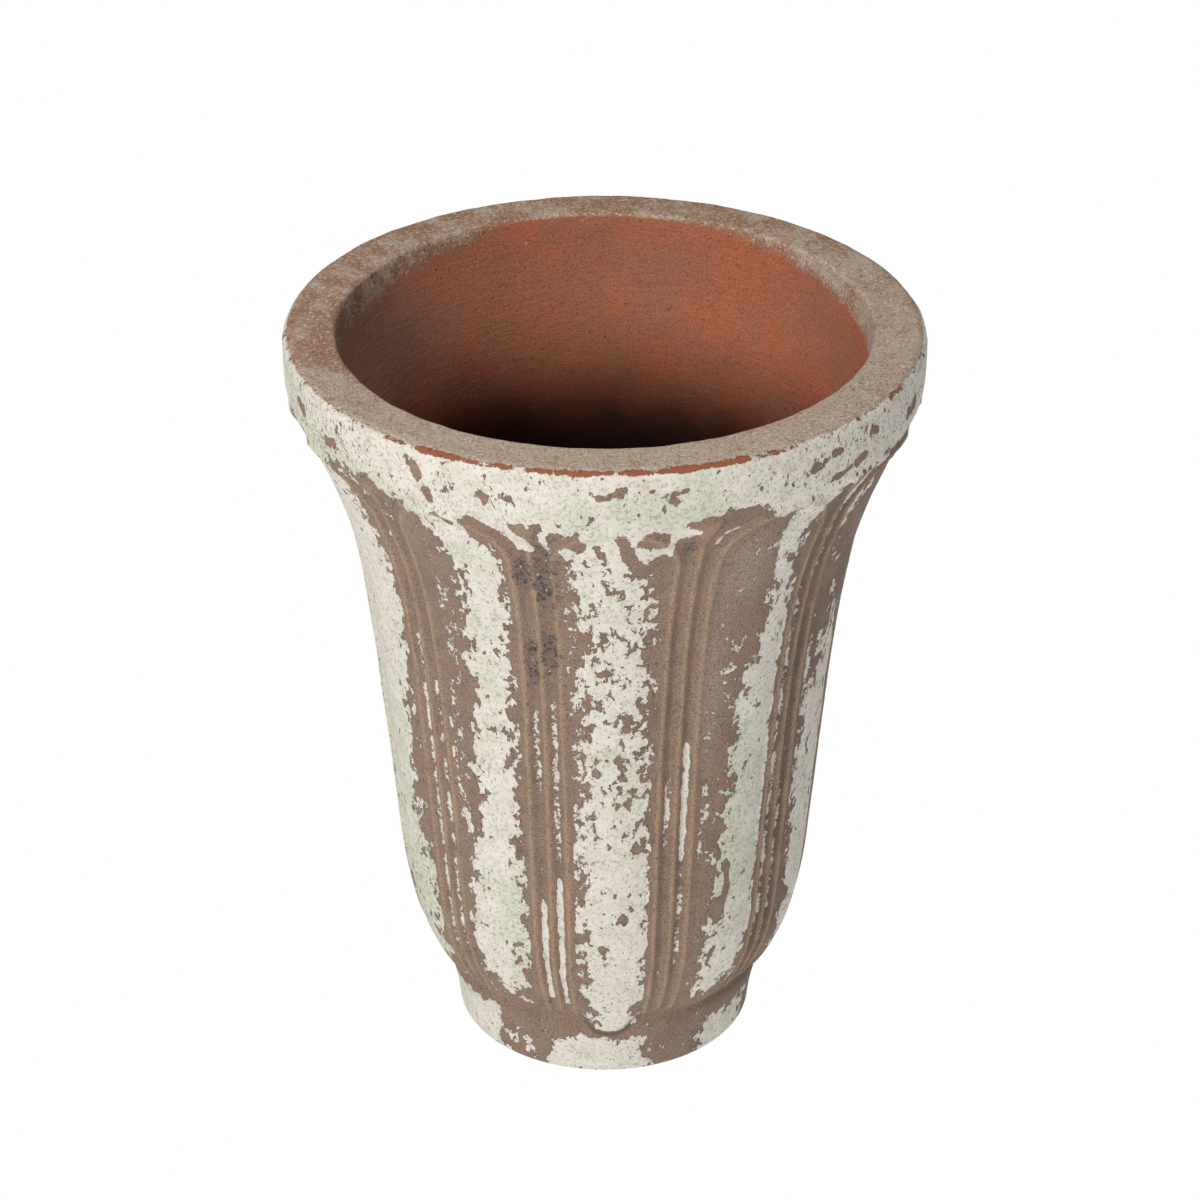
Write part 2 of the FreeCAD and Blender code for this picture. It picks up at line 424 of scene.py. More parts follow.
# White left in the hollows beside a reed: (petal on its left, side of the reed, low, high, cover)
HOLLOWS = [
    (10, -1, 165, 212, 0.0), (10, -1, 48, 108, 0.75), (10, 1, 132, 218, 0.15),
    (10, 1, 44, 122, 0.75), (0, -1, 138, 178, 0.1), (0, 1, 128, 194, 0.7), (0, 1, 70, 126, -0.1),
    (9, -1, 60, 240, 0.1), (9, 1, 70, 215, 0.0), (1, -1, 70, 262, 0.15), (1, 1, 60, 150, -0.1),
    (2, 1, 90, 230, 0.1), (3, -1, 60, 180, 0.2), (4, 1, 100, 250, 0.1), (5, -1, 60, 210, 0.3),
    (6, 1, 50, 160, 0.3), (7, -1, 90, 240, 0.1), (8, 1, 60, 200, 0.2),
]

# Specks of white left on bare slip: (phi, height, half width, half height, cover)
SPECKS = [
    (-38.5, 255, 6, 55, -0.45), (-40.5, 170, 6, 55, -0.15), (-9.4, 235, 4, 60, -0.3),
    (-8.0, 160, 6, 50, -0.15), (25.0, 262, 5, 24, -0.5), (29.0, 222, 6, 32, -0.3),
    (50.0, 285, 8, 34, -0.4), (55.0, 195, 7, 50, -0.1), (-58.0, 302, 6, 14, -0.4),
    (23.0, 170, 5, 60, -0.55), (-49.0, 120, 8, 60, -0.45), (46.0, 120, 8, 60, -0.4),
    (82.0, 240, 12, 60, -0.3), (115.0, 170, 12, 70, -0.2), (147.0, 260, 10, 40, -0.3),
    (178.0, 140, 12, 70, -0.2), (-150.0, 230, 12, 60, -0.3), (-118.0, 150, 12, 70, -0.2),
    (-84.0, 90, 10, 40, -0.3),
]

# How far down the rim's whole coat reaches, as (phi, height)
RIM_COAT = [
    (-180, 309), (-160, 316), (-142, 305), (-120, 314), (-100, 308), (-84, 319), (-76, 322),
    (-66, 320), (-58, 319), (-50, 323), (-46, 323), (-44, 317), (-38, 311), (-28, 300), (-20, 297),
    (-16, 300), (-12, 297), (-8, 298), (-4, 295), (4, 296), (9, 301), (12, 311), (15, 318),
    (19, 323), (27, 322), (31, 309), (40, 300), (47, 316), (58, 321), (74, 320), (90, 311),
    (110, 304), (128, 317), (150, 306), (165, 314), (180, 309),
]

# Brown marks through the coat, as strokes (phi, height, phi, height, half width)
BARE_STROKES = [
    (-25.6, 313.6, -24.6, 311.8, 5.9), (-23.0, 312.0, -20.8, 306.6, 3.0),
    (-20.8, 306.8, -18.5, 295.0, 3.1), (-18.0, 319.0, -13.8, 319.8, 2.3),
    (-16.8, 317.0, -15.2, 313.6, 2.6), (-15.4, 312.5, -14.0, 305.0, 1.2),
    (-14.0, 305.0, -13.0, 294.0, 1.1), (-11.0, 299.0, -11.2, 312.0, 2.3),
    (-10.6, 313.8, -7.6, 311.6, 3.7), (-7.4, 311.6, -6.7, 310.0, 2.7),
    (-16.8, 301.0, -17.2, 293.0, 3.0), (-3.4, 309.0, -2.7, 304.5, 1.1),
    (0.8, 315.5, 2.4, 303.0, 2.2), (6.3, 313.4, 7.6, 312.8, 4.8), (2.4, 303.0, 5.0, 294.0, 2.4),
    (8.6, 300.0, 9.6, 285.0, 2.8), (13.0, 320.0, 26.0, 322.6, 2.2), (17.0, 316.5, 26.5, 319.5, 2.6),
    (16.5, 312.0, 17.0, 300.0, 4.0), (12.2, 309.0, 12.6, 300.0, 2.6),
    (22.0, 312.0, 30.0, 310.0, 5.0), (34.0, 315.0, 31.0, 306.0, 1.6),
    (-32.8, 317.2, -31.4, 314.4, 1.5), (-36.8, 340.0, -35.6, 336.0, 2.0),
    (-33.6, 330.0, -33.4, 324.5, 0.9), (-4.6, 339.0, -2.6, 337.0, 0.6),
    (-2.6, 336.8, 0.6, 338.6, 1.1), (1.5, 339.6, 6.5, 339.4, 0.2), (7.8, 336.6, 12.4, 338.6, 0.4),
    (9.3, 334.2, 10.2, 333.4, 0.7), (35.0, 333.0, 38.6, 336.6, 1.7),
    (41.0, 339.0, 42.4, 338.0, 1.0), (-23.4, 333.4, -22.6, 332.8, 1.1),
    (-59.0, 331.0, -57.0, 332.0, 1.6), (-70.0, 337.0, -68.0, 335.0, 2.2),
    (47.0, 329.0, 49.0, 330.0, 1.3), (41.0, 326.4, 45.0, 327.8, 0.8),
    (51.0, 340.0, 52.4, 338.4, 0.8), (65.0, 332.0, 69.0, 334.0, 2.2),
    (31.4, 124.0, 32.4, 110.0, 0.8), (32.4, 110.0, 30.4, 94.0, 0.7), (2.4, 104.2, 3.3, 103.6, 1.8),
    (-2.6, 85.6, -1.6, 85.0, 1.0), (5.6, 140.6, 6.1, 139.0, 1.0), (0.6, 114.6, 1.2, 114.0, 0.6),
    (93.0, 341.0, 94.6, 338.0, 1.2), (127.0, 326.0, 131.0, 327.4, 1.9),
    (161.0, 339.0, 162.0, 337.5, 1.3), (-172.0, 331.0, -170.4, 334.5, 0.9),
    (-169.6, 333.0, -168.4, 329.0, 1.7), (-112.0, 327.0, -108.6, 326.2, 1.8),
]

# White left between those marks, the same way
WHITE_STROKES = [
    (12.4, 316.4, 14.6, 315.4, 1.5), (18.6, 303.0, 20.6, 312.0, 0.45),
    (20.6, 312.0, 27.5, 319.6, 0.5), (20.8, 312.0, 22.4, 314.0, 1.3),
    (26.0, 323.4, 27.4, 321.4, 0.5),
]

# White patches left on the foot: (low phi, high phi, low height, high height, cover)
FOOT_PATCHES = [
    (-23, 15, 2, 21.0, 1.1), (-96, -44, 0, 27, 1.0), (-45, -36, 0, 15, 0.5),
    (-36, -28, 4, 20, -0.1), (36, 65, 1, 20, 0.9), (88, 120, 0, 21, 0.8), (139, 171, 3, 24, 0.7),
    (-171, -150, 0, 16, 0.8), (-133, -108, 5, 25, 0.8),
]

# How bare and brown the lip is, as (phi, amount from 0 to 1)
LIP_BARE = [
    (-180, 0.9), (-150, 0.8), (-115, 0.8), (-95, 0.9), (-66, 0.5), (-50, -0.3), (-25, -0.5),
    (60, -0.4), (110, 0.3), (180, 0.9),
]

# How far down the inside the lip's dirt reaches, as (phi, height)
INNER_EDGE = [
    (-180, 348), (-165, 349), (-150, 341), (-115, 333), (-80, 335), (0, 340), (70, 334), (100, 334),
    (125, 338), (150, 344), (180, 348),
]

# How bare and knocked the outer arris of the rim is, as (phi, amount)
ARRIS_WEAR = [
    (-180, 0.35), (-110, 0.4), (-80, 0.55), (-48, 0.6), (-36, 0.95), (20, 0.95), (35, 0.62), (60, 0.7),
    (90, 0.3), (180, 0.35),
]

# Soft ovals of the finer effects, as (phi, height, half width, half height)
SOOT_SPOTS = [
    (-18, 290, 5, 12), (-13.5, 288, 6, 20), (-14, 246, 4, 13), (-18.5, 238, 3, 12), (14, 306, 3, 6),
]
GREEN_SPOTS = [(-68, 80, 26, 70), (-25, 90, 9, 40), (32, 150, 14, 50), (-84, 170, 20, 60)]
PALE_GREEN_SPOTS = [(-60, 328, 60, 16), (12, 330, 45, 10), (120, 100, 30, 60), (170, 330, 60, 16)]
# Dusty pale patches on a petal's left flank, where a sheen is painted
DUST_AND_SHEEN_SPOTS = [(23.5, 222, 5, 34), (27, 285, 9, 22)]
# Painted light: a pale patch on the left inside wall, which lies in shade
INNER_PAINTED_LIGHT_SPOTS = [(-100, 318, 70, 30)]
PITTED_SPOTS = [
    (-62, 334, 44, 14), (46, 334, 40, 14), (32, 312, 24, 12), (-33, 322, 14, 14), (70, 335, 40, 16),
    (-150, 330, 80, 16),
]

# The cover of bare slip: far enough below 0 that the noise leaves no white on it
BARE = -1.15
SPECKED = -1.1
BARE_FOOT = -0.95

# How softly the limewash runs out at an edge, in millimetres
STREAK_SOFT = 7.5
HOLLOW_SOFT = 1.6
COAT_SOFT = 6.0
PATCH_SOFT = 5.0

# How much cover a worn bead and a brown mark lose, and a white mark gains
BEAD_LOSS = 1.7
MARK_LOSS = 1.9
MARK_GAIN = 2.3

# The hollow beside a reed, in degrees: how far off its middle is, and half its width
HOLLOW_OFF = 2.2
HOLLOW_HALF = 1.7

# Where round the pot the beads keep their white, as (phi, half width)
WHITE_BEADS = (-81.0, 9.0)

wrapped = (phi + 180.0) % 360.0 - 180.0


def towards(cover, inside_by, soft):
    """A cover that holds inside an edge and falls to bare slip over a soft width in millimetres."""
    return BARE + (cover - BARE) * np.clip(0.5 + 0.5 * inside_by / soft, 0.0, 1.0)


def turned_from(middle):
    """How far each column lies from an angle, in degrees from -180 to 180."""
    return (phi - middle + 180.0) % 360.0 - 180.0


def off_stroke(r, z, stroke):
    """How far each point lies outside a stroke, in millimetres."""
    phi_a, z_a, phi_b, z_b, half_width = stroke
    degree = np.radians(1.0) * r
    x = turned_from(phi_a) * degree
    y = z - z_a
    run_x, run_y = (phi_b - phi_a) * degree, z_b - z_a
    t = np.clip((x * run_x + y * run_y) / (run_x**2 + run_y**2), 0.0, 1.0)
    return np.hypot(x - t * run_x, y - t * run_y) - half_width


def lime_cover():
    """Cover of limewash on every point of the skin: over 0.5 nearly whole, under -0.5 nearly bare."""
    r, z = base_radius, base_height
    degree = np.radians(1.0) * r
    cover = np.full(r.shape, BARE)
    for index, rows in STREAKS.items():
        columns = panel == index
        at = z[:, columns]
        table = np.array(rows[::-1], float)
        left, right, amount = (np.interp(at, table[:, 0], table[:, i]) for i in (1, 2, 3))
        u = local[columns]
        inside_by = np.minimum(u - left, right - u) * degree[:, columns]
        ends = np.minimum(at - (table[0, 0] - 4.0), 330.0 - at)
        cover[:, columns] = towards(amount, np.minimum(inside_by, ends), STREAK_SOFT)
    flecks = 0.45 * smooth(0.1, 0.5, noise(placed(r, z * 0.35), 26.0, 71))
    cover = np.maximum(cover, SPECKED + flecks)
    for middle, height, half_width, half_height, amount in SPECKS:
        oval = np.hypot(turned_from(middle) * degree / half_width, (z - height) / half_height)
        cover = np.maximum(cover, SPECKED + (amount - SPECKED) * (1 - smooth(0.4, 1.3, oval)))
    for index, side, low, high, amount in HOLLOWS:
        inside_by = hollow_depth(index, side, low, high)
        cover = np.maximum(cover, towards(amount + 0.10, inside_by, HOLLOW_SOFT))
    coat = np.interp(wrapped, *zip(*RIM_COAT))
    cover = np.maximum(cover, towards(0.95, z - coat, COAT_SOFT))
    hidden = smooth(46.0, 56.0, np.abs(wrapped)) * smooth(-0.3, 0.2, noise(placed(r, z), 60.0, 83))
    worn = np.where(z > 296.0, np.maximum(hidden, 1 - smooth(296.0, 302.0, z)), 1.0)
    worn = np.where(np.abs(turned_from(WHITE_BEADS[0])) < WHITE_BEADS[1], 0.0, worn)
    cover -= BEAD_LOSS * smooth(0.25, 1.1, relief) * worn
    for stroke in BARE_STROKES:
        cover -= MARK_LOSS * (1 - smooth(-1.2, 2.2, off_stroke(r, z, stroke)))
    for stroke in WHITE_STROKES:
        cover += MARK_GAIN * (1 - smooth(-0.9, 1.4, off_stroke(r, z, stroke)))
    foot = np.full(r.shape, BARE_FOOT)
    for low_phi, high_phi, low, high, amount in FOOT_PATCHES:
        across = np.minimum(wrapped - low_phi, high_phi - wrapped) * degree
        inside_by = np.minimum(across, np.minimum(z - low + 6.0, high - z))
        foot = np.maximum(foot, towards(amount, inside_by, PATCH_SOFT))
    tip = np.zeros(r.shape)
    tip[outer_rows] = plain - curve_through(FOOT, np.minimum(outer_z, 38.0))[:, None]
    return np.where((z < 29.0) & (tip < 0.8), foot, cover)


def hollow_depth(index, side, low, high):
    """How far each point lies inside the hollow on one side of a reed, in millimetres."""
    away = np.abs(turned_from((index + 0.5) * PITCH + HOLLOW_OFF * side))
    across = (HOLLOW_HALF - away) * np.radians(1.0) * base_radius
    return np.minimum(across, np.minimum(base_height - low, high - base_height))


def dotted_share():
    """1 where the limewash is down to single dots: in thin hollows and on bare slip with specks."""
    share = np.zeros(base_radius.shape)
    for index, side, low, high, amount in HOLLOWS:
        share = np.maximum(share, (amount < 0.4) * smooth(-1.0, 1.0, hollow_depth(index, side, low, high)))
    return np.maximum(share, 0.7 * spots([place[:4] for place in SPECKS], 1.0))


def spots(places, soft=1.0):
    """1 inside any of some (phi, height, half width, half height) ovals, fading out at their edges."""
    total = np.zeros(base_radius.shape)
    for middle, height, half_width, half_height in places:
        away = turned_from(middle) * np.radians(1.0) * base_radius
        oval = np.hypot(away / half_width, (base_height - height) / half_height)
        total = np.maximum(total, 1 - smooth(1.0 - 0.5 * soft, 1.0 + 0.5 * soft, oval))
    return total


def row_blend(start, end):
    """0 to 1 over some rows of the skin, then 1 on every row after them."""
    rows = np.arange(row_count)[:, None] * np.ones((1, COLUMNS))
    return smooth(start, end, rows)


def painted_tip_shade():
    """1 in the crease under the front petal's tip, where shade is painted."""
    dark = np.zeros(base_radius.shape)
    z = outer_z[:, None]
    below = FRONT_TIP_BOTTOM + 1.3 + 10.0 * (np.abs(local) / 10.0) ** 2.5 - z
    near = smooth(-1.5, 0.2, below) * (1 - smooth(0.6, 3.2, below))
    dark[outer_rows] = near * (1 - smooth(7.0, 11.0, np.abs(local)))
    return dark * (panel == 0)


def inner_share():
    """1 on the red inside, from the ragged lower edge of the lip's dirt downwards."""
    edge = np.interp(wrapped, *zip(*INNER_EDGE))
    below = smooth(-9.0, 7.0, edge - base_height)
    return below * row_blend(lip_end - 4, lip_end - 1)


from_arris = np.arange(row_count)[:, None] - (lip_start + 3.5)
arris_wear = np.interp(wrapped, *zip(*ARRIS_WEAR))
paint = {
    "lime": lime_cover() - 2.4 * row_blend(lip_start + 3, lip_start + 7),
    "crest": np.zeros((row_count, COLUMNS)),
    "lip_bare": np.interp(wrapped, *zip(*LIP_BARE)) * np.ones((row_count, 1)),
    "lip": row_blend(lip_start + 2, lip_start + 6),
    "inner": inner_share(),
    "worn": np.exp(-((from_arris / 2.2) ** 2)) * arris_wear,
    "soot": spots(SOOT_SPOTS, 1.6),
    "green": np.maximum(spots(GREEN_SPOTS, 1.8), 0.6 * spots(PALE_GREEN_SPOTS, 1.8)),
    "dotted": dotted_share(),
    # Pale patches: dusty with a painted sheen outside, and painted light on the left inside wall
    "dust_and_painted_light": np.maximum(spots(DUST_AND_SHEEN_SPOTS, 1.8), 0.7 * spots(INNER_PAINTED_LIGHT_SPOTS, 1.6)),
    # Painted shade in the crease under the front petal's tip
    "crease": painted_tip_shade(),
    # Painted shade: the slip darkens towards the pot's right side, away from the key light
    "right_side_shade": 1.3 * smooth(22.0, 60.0, turned_from(0.0)) * np.ones((row_count, 1)),
    "pitted": spots(PITTED_SPOTS, 1.6),
}
# How high each bead stands, which places the painted tan highlight on the crests
paint["crest"][outer_rows] = np.maximum(arch_height / BEAD_HEIGHT, reed_height / REED_HEIGHT)


# ---------------------------------------------------------------- meshes


class Row:
    """One ring of points, with its normals and paint, that a solid is stitched from."""

    def __init__(self, points, normals=None, values=None):
        self.points = points
        self.normals = normals
        self.values = values

    @classmethod
    def of_skin(cls, index, step=1):
        """A row of the skin, whole or with only every step-th column."""
        values = {name: grid[index, ::step] for name, grid in paint.items()}
        return cls(skin[index, ::step], normals[index, ::step], values)

    @classmethod
    def turned(cls, radius, height, facing=None, inner=0.0):
        """A plain coarse ring. facing is its normal as (radial, up), or None on a flat hidden face."""
        count = COLUMNS // COARSE
        turn = np.arange(count) * 2 * np.pi / count
        around = np.stack([np.sin(turn), -np.cos(turn), np.zeros(count)], axis=-1)
        points = radius * around + np.array([0.0, 0.0, height])
        normal = None
        if facing is not None:
            normal = facing[0] * around + np.array([0.0, 0.0, facing[1]])
        values = {name: np.full(count, -2.0 if name == "lime" else 0.0) for name in paint}
        values["inner"] = np.full(count, inner)
        return cls(points, normal, values)


def stitched(first, second, start_first, start_second):
    """Faces between two rings, whose counts are equal or differ by COARSE."""
    count_a, count_b = len(first.points), len(second.points)
    small = min(count_a, count_b)
    step_a, step_b = count_a // small, count_b // small
    faces = []
    for i in range(small):
        low = [start_first + (i * step_a + k) % count_a for k in range(step_a + 1)]
        high = [start_second + (i * step_b + k) % count_b for k in range(step_b, -1, -1)]
        faces.append(low + high)
    return faces


def write_mesh(name, points, faces, values, loop_normals):
    """An object of the given faces, in metres, with its paint and normals."""
    mesh = bpy.data.meshes.new(name)
    mesh.from_pydata((points * MM).tolist(), [], faces)
    mesh.shade_smooth()
    for key, data in values.items():
        layer = mesh.attributes.new(key, "FLOAT", "POINT")
        layer.data.foreach_set("value", np.asarray(data, np.float32))
    mesh.normals_split_custom_set(loop_normals)
    obj = bpy.data.objects.new(name, mesh)
    bpy.context.scene.collection.objects.link(obj)
    return obj


def flat_normal(points):
    """The unit normal of a flat face from its corner points."""
    total = np.zeros(3)
    for i in range(len(points)):
        total += np.cross(points[i - 1], points[i])
    return total / max(np.linalg.norm(total), 1e-12)


def ring_solid(name, rows):
    """A closed solid round the axis, stitched from row to row and from the last back to the first."""
    starts = np.cumsum([0] + [len(row.points) for row in rows])
    points = np.vstack([row.points for row in rows])
    values = {key: np.concatenate([row.values[key] for row in rows]) for key in paint}
    known = np.concatenate([np.full(len(row.points), row.normals is not None) for row in rows])
    blank = [np.zeros_like(row.points) for row in rows]
    vertex_normals = np.vstack([b if row.normals is None else row.normals for row, b in zip(rows, blank)])
    faces, loop_normals = [], []
    for i, row in enumerate(rows):
        after = (i + 1) % len(rows)
        for face in stitched(row, rows[after], starts[i], starts[after]):
            faces.append(face)
            if known[face].all():
                loop_normals.extend(vertex_normals[face].tolist())
            else:
                loop_normals.extend([flat_normal(points[face]).tolist()] * len(face))
    return write_mesh(name, points, faces, values, loop_normals)


def four_corners(grid):
    """The sum of the four corner values of every cell of a grid."""
    return grid[:-1, :-1] + grid[1:, :-1] + grid[:-1, 1:] + grid[1:, 1:]


def bead_solid(name, height, other, columns):
    """A bead as its own solid: the raised skin over it, and an underside bedded into the wall.

    A cell that two beads reach belongs to the one that stands higher there.
    """
    mine, others = np.zeros((2, row_count, len(columns)))
    mine[outer_rows] = height[:, columns]
    others[outer_rows] = other[:, columns]
    up = four_corners(mine)
    cells = (up > 4e-4) & (up >= four_corners(others))
    corner = np.zeros(mine.shape, bool)
    corner[:-1, :-1] |= cells
    corner[1:, :-1] |= cells
    corner[:-1, 1:] |= cells
    corner[1:, 1:] |= cells
    index = np.full(mine.shape, -1)
    index[corner] = np.arange(corner.sum())
    top = raised[:, columns][corner]
    top_normals = normals[:, columns][corner]
    bottom = skin[:, columns][corner] - BEAD_SUNK * top_normals
    count = len(top)
    faces, loop_normals = [], []
    for i, j in zip(*np.nonzero(cells)):
        face = [index[i, j], index[i, j + 1], index[i + 1, j + 1], index[i + 1, j]]
        faces.append([int(v) for v in face])
        loop_normals.extend(top_normals[face].tolist())
        faces.append([int(v) + count for v in reversed(face)])
        loop_normals.extend((-top_normals[face[::-1]]).tolist())
    padded = np.pad(cells, 1)
    sides = {
        (0, -1): ((0, 0), (0, 1)),
        (0, 1): ((1, 1), (1, 0)),
        (1, -1): ((1, 0), (0, 0)),
        (1, 1): ((0, 1), (1, 1)),
    }
    points = np.vstack([top, bottom])
    for i, j in zip(*np.nonzero(cells)):
        for (axis, way), (a, b) in sides.items():
            beside = padded[i + 1 + (way if axis == 0 else 0), j + 1 + (way if axis == 1 else 0)]
            if beside:
                continue
            start, end = int(index[i + a[0], j + a[1]]), int(index[i + b[0], j + b[1]])
            face = [end, start, start + count, end + count]
            faces.append(face)
            loop_normals.extend([flat_normal(points[face]).tolist()] * 4)
    values = {key: np.tile(data[:, columns][corner], 2) for key, data in paint.items()}
    return write_mesh(name, points, faces, values, loop_normals)


# ---------------------------------------------------------------- the clay's finish


class Nodes:
    """Short calls for building a node tree."""

    def __init__(self, material):
        material.use_nodes = True
        self.tree = material.node_tree
        self.tree.nodes.clear()

    def node(self, kind, **settings):
        made = self.tree.nodes.new(kind)
        for key, value in settings.items():
            setattr(made, key, value)
        return made

    def join(self, source, target):
        if isinstance(source, (int, float)):
            target.default_value = source
        elif isinstance(source, tuple):
            target.default_value = (*source, 1.0) if len(target.default_value) == 4 else source
        else:
            self.tree.links.new(source, target)

    def maths(self, operation, a, b=0.0, clamp=False):
        made = self.node("ShaderNodeMath", operation=operation, use_clamp=clamp)
        self.join(a, made.inputs[0])
        self.join(b, made.inputs[1])
        return made.outputs[0]

    def add(self, a, b):
        return self.maths("ADD", a, b)

    def times(self, a, b):
        return self.maths("MULTIPLY", a, b)

    def ramp(self, value, low, high, out_low=0.0, out_high=1.0):
        made = self.node("ShaderNodeMapRange", interpolation_type="SMOOTHSTEP")
        for source, target in zip((value, low, high, out_low, out_high), made.inputs):
            self.join(source, target)
        return made.outputs[0]

    def mix(self, amount, a, b, blend="MIX"):
        made = self.node("ShaderNodeMix", data_type="RGBA", blend_type=blend)
        self.join(amount, made.inputs["Factor"])
        self.join(a, made.inputs[6])
        self.join(b, made.inputs[7])
        return made.outputs[2]

    def attribute(self, name):
        return self.node("ShaderNodeAttribute", attribute_name=name).outputs["Fac"]

    def place(self, stretch=(1.0, 1.0, 1.0)):
        """Object coordinates in metres, stretched."""
        where = self.node("ShaderNodeTexCoord").outputs["Object"]
        mapping = self.node("ShaderNodeMapping")
        self.join(where, mapping.inputs["Vector"])
        mapping.inputs["Scale"].default_value = stretch
        return mapping.outputs[0]

    def noise(self, size, detail=4.0, rough=0.5, stretch=(1.0, 1.0, 1.0), offset=0.0, warp=0.0):
        """Noise from 0 to 1 with features of about size millimetres."""
        made = self.node("ShaderNodeTexNoise", noise_dimensions="4D")
        self.join(self.place(stretch), made.inputs["Vector"])
        made.inputs["W"].default_value = offset
        made.inputs["Scale"].default_value = 1.0 / (size * MM)
        made.inputs["Detail"].default_value = detail
        made.inputs["Roughness"].default_value = rough
        made.inputs["Distortion"].default_value = warp
        return made.outputs["Fac"]

    def dots(self, size, radius, share, offset=0.0):
        """1 inside small round dots: cells of that size, of which only a share has a dot."""
        cells = self.node("ShaderNodeTexVoronoi", voronoi_dimensions="4D", feature="F1")
        self.join(self.place(), cells.inputs["Vector"])
        cells.inputs["W"].default_value = offset
        cells.inputs["Scale"].default_value = 1.0 / (size * MM)
        split = self.node("ShaderNodeSeparateColor")
        self.join(cells.outputs["Color"], split.inputs[0])
        chosen = self.ramp(split.outputs[0], share, share + 0.02, 1.0, 0.0)
        reach = self.times(split.outputs[1], radius)
        inside = self.ramp(self.maths("SUBTRACT", cells.outputs["Distance"], reach), -0.04, 0.06, 1.0, 0.0)
        return self.times(chosen, inside)


# Colours as linear red, green and blue
WHITE = (0.820, 0.768, 0.688)
CREAM = (0.720, 0.655, 0.545)
OLIVE = (0.360, 0.360, 0.275)
GREEN = (0.570, 0.595, 0.440)
SLIP = (0.345, 0.236, 0.170)
SLIP_DARK = (0.125, 0.088, 0.068)
SLIP_RED = (0.345, 0.212, 0.148)
# Tan laid on the bead crests as a painted highlight
CREST_HIGHLIGHT_TAN = (0.480, 0.325, 0.210)
SOOT = (0.040, 0.050, 0.058)
TERRACOTTA = (0.330, 0.112, 0.056)
LIP_GREY = (0.540, 0.410, 0.310)
LIP_BROWN = (0.370, 0.190, 0.108)
INNER_RED = (0.530, 0.168, 0.078)
INNER_BROWN = (0.430, 0.172, 0.094)
# Painted shade deep inside the pot, and a dull brown at its bottom
INNER_PAINTED_SHADE = (0.075, 0.015, 0.005)
INNER_PAINTED_DEEP_SHADE = (0.008, 0.002, 0.001)
INNER_DULL_BROWN = (0.085, 0.040, 0.025)
# Pale colour of the dusty patches with a painted sheen, and of the painted light inside
DUST_AND_PAINTED_LIGHT = (0.440, 0.345, 0.280)


def brown_slip(n, seed):
    """The slip's colour, its soot and its fine grain: mottled, with painted shade towards the right, a
    painted tan highlight on the crests, painted glints in the soot and dusty pale patches with a painted
    sheen.
    """
    mottle = n.noise(11.0, 6.0, 0.6, offset=seed)
    fine = n.noise(0.8, 4.0, 0.7, offset=seed + 1)
    slip = n.mix(n.ramp(mottle, 0.30, 0.60, 0.62, 1.0), SLIP_DARK, SLIP)
    # Painted shade: the slip darkens towards the pot's right side
    slip = n.mix(n.times(n.attribute("right_side_shade"), 0.35), slip, SLIP_DARK)
    slip = n.mix(n.ramp(n.noise(19.0, 4.0, 0.5, offset=seed + 2), 0.48, 0.66, 0.0, 0.75), slip, SLIP_RED)
    # Painted highlight: the bead crests are lightened to tan, streaked along their length
    streak = n.noise(4.0, 5.0, 0.6, stretch=(1.0, 1.0, 0.12), offset=seed + 3)
    crest = n.ramp(n.add(n.attribute("crest"), n.times(n.add(streak, -0.5), 1.2)), 0.45, 1.0, 0.0, 0.75)
    slip = n.mix(crest, slip, CREST_HIGHLIGHT_TAN)
    # Dusty pale patches with a painted sheen
    slip = n.mix(n.times(n.attribute("dust_and_painted_light"), n.ramp(fine, 0.3, 0.7, 0.25, 0.75)), slip, DUST_AND_PAINTED_LIGHT)
    slip = n.mix(n.ramp(fine, 0.38, 0.54, 0.80, 0.0), slip, SLIP_DARK)
    sooty = n.add(n.attribute("soot"), n.times(n.add(n.noise(7.0, 5.0, 0.7, offset=seed + 4), -0.5), 3.0))
    sooty = n.ramp(sooty, 0.25, 0.85)
    blots = n.ramp(n.noise(2.4, 3.0, 0.6, offset=seed + 23), 0.53, 0.57)
    soot = n.maths("MAXIMUM", blots, n.dots(1.3, 0.52, 0.60, seed + 24))
    soot = n.times(soot, sooty)
    slip = n.mix(n.times(sooty, 0.25), slip, SOOT)
    slip = n.mix(n.times(soot, 0.80), slip, SOOT)
    # Painted glints: small white dots in the soot stand for highlights on its glossy specks
    slip = n.mix(n.times(sooty, n.dots(1.7, 0.34, 0.26, seed + 25)), slip, WHITE)
    # Painted shade in the crease under the front petal's tip
    slip = n.mix(n.times(n.attribute("crease"), 0.85), slip, SLIP_DARK)
    return slip, soot, fine


